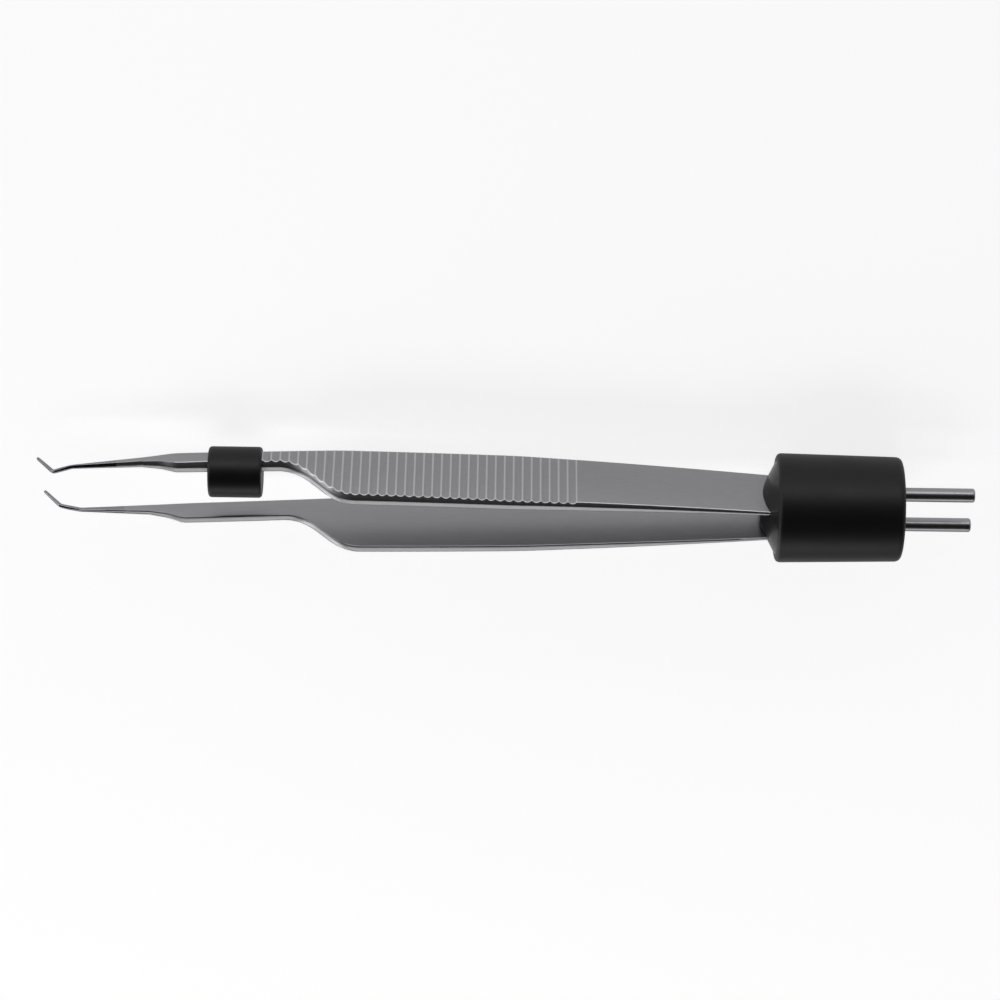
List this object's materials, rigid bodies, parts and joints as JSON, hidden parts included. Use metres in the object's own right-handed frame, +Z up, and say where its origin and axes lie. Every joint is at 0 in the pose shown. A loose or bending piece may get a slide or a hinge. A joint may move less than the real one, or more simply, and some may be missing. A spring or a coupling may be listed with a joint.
{
  "type": "bipolar forceps",
  "caption": "Bipolar forceps with fluted, bevelled steel arms, fine angled tips, a stop ring and an insulating plug with contact pins.",
  "frame": {"origin": "bottom centre of the bounding box, on the table below the middle of the forceps", "axes": "+X out along the contact pins, -X toward the working tips, +Y the side of the upper arm, which carries the stop ring, +Z up from the table, with the tips angled down to it"},
  "size_m": [0.133, 0.0156, 0.0156],
  "materials": {
    "arm_steel": "satin, fine matt-blasted",
    "pin_steel": "polished",
    "casing_plastic": "satin moulded",
    "potting_resin": "glossy cast resin",
    "ring_plastic": "satin"
  },
  "bodies": {
    "plug": {"plug_casing": "casing_plastic", "potting": "potting_resin", "upper_pin": "pin_steel", "lower_pin": "pin_steel"},
    "upper_leaf": {"upper_arm": "arm_steel", "stop_ring": "ring_plastic"},
    "lower_leaf": {"lower_arm": "arm_steel"}
  },
  "joints": [
    {"name": "upper_close", "type": "hinge", "parent": "plug", "child": "upper_leaf", "pos_m": [0.03735, 0.00251, 0.00779], "axis": [0, 0, 1], "range_deg": [0, 1.62], "stiffness_Nm_per_rad": 1.4},
    {"name": "lower_close", "type": "hinge", "parent": "plug", "child": "lower_leaf", "pos_m": [0.03735, -0.00251, 0.00779], "axis": [0, 0, -1], "range_deg": [0, 1.62], "stiffness_Nm_per_rad": 1.4}
  ]
}
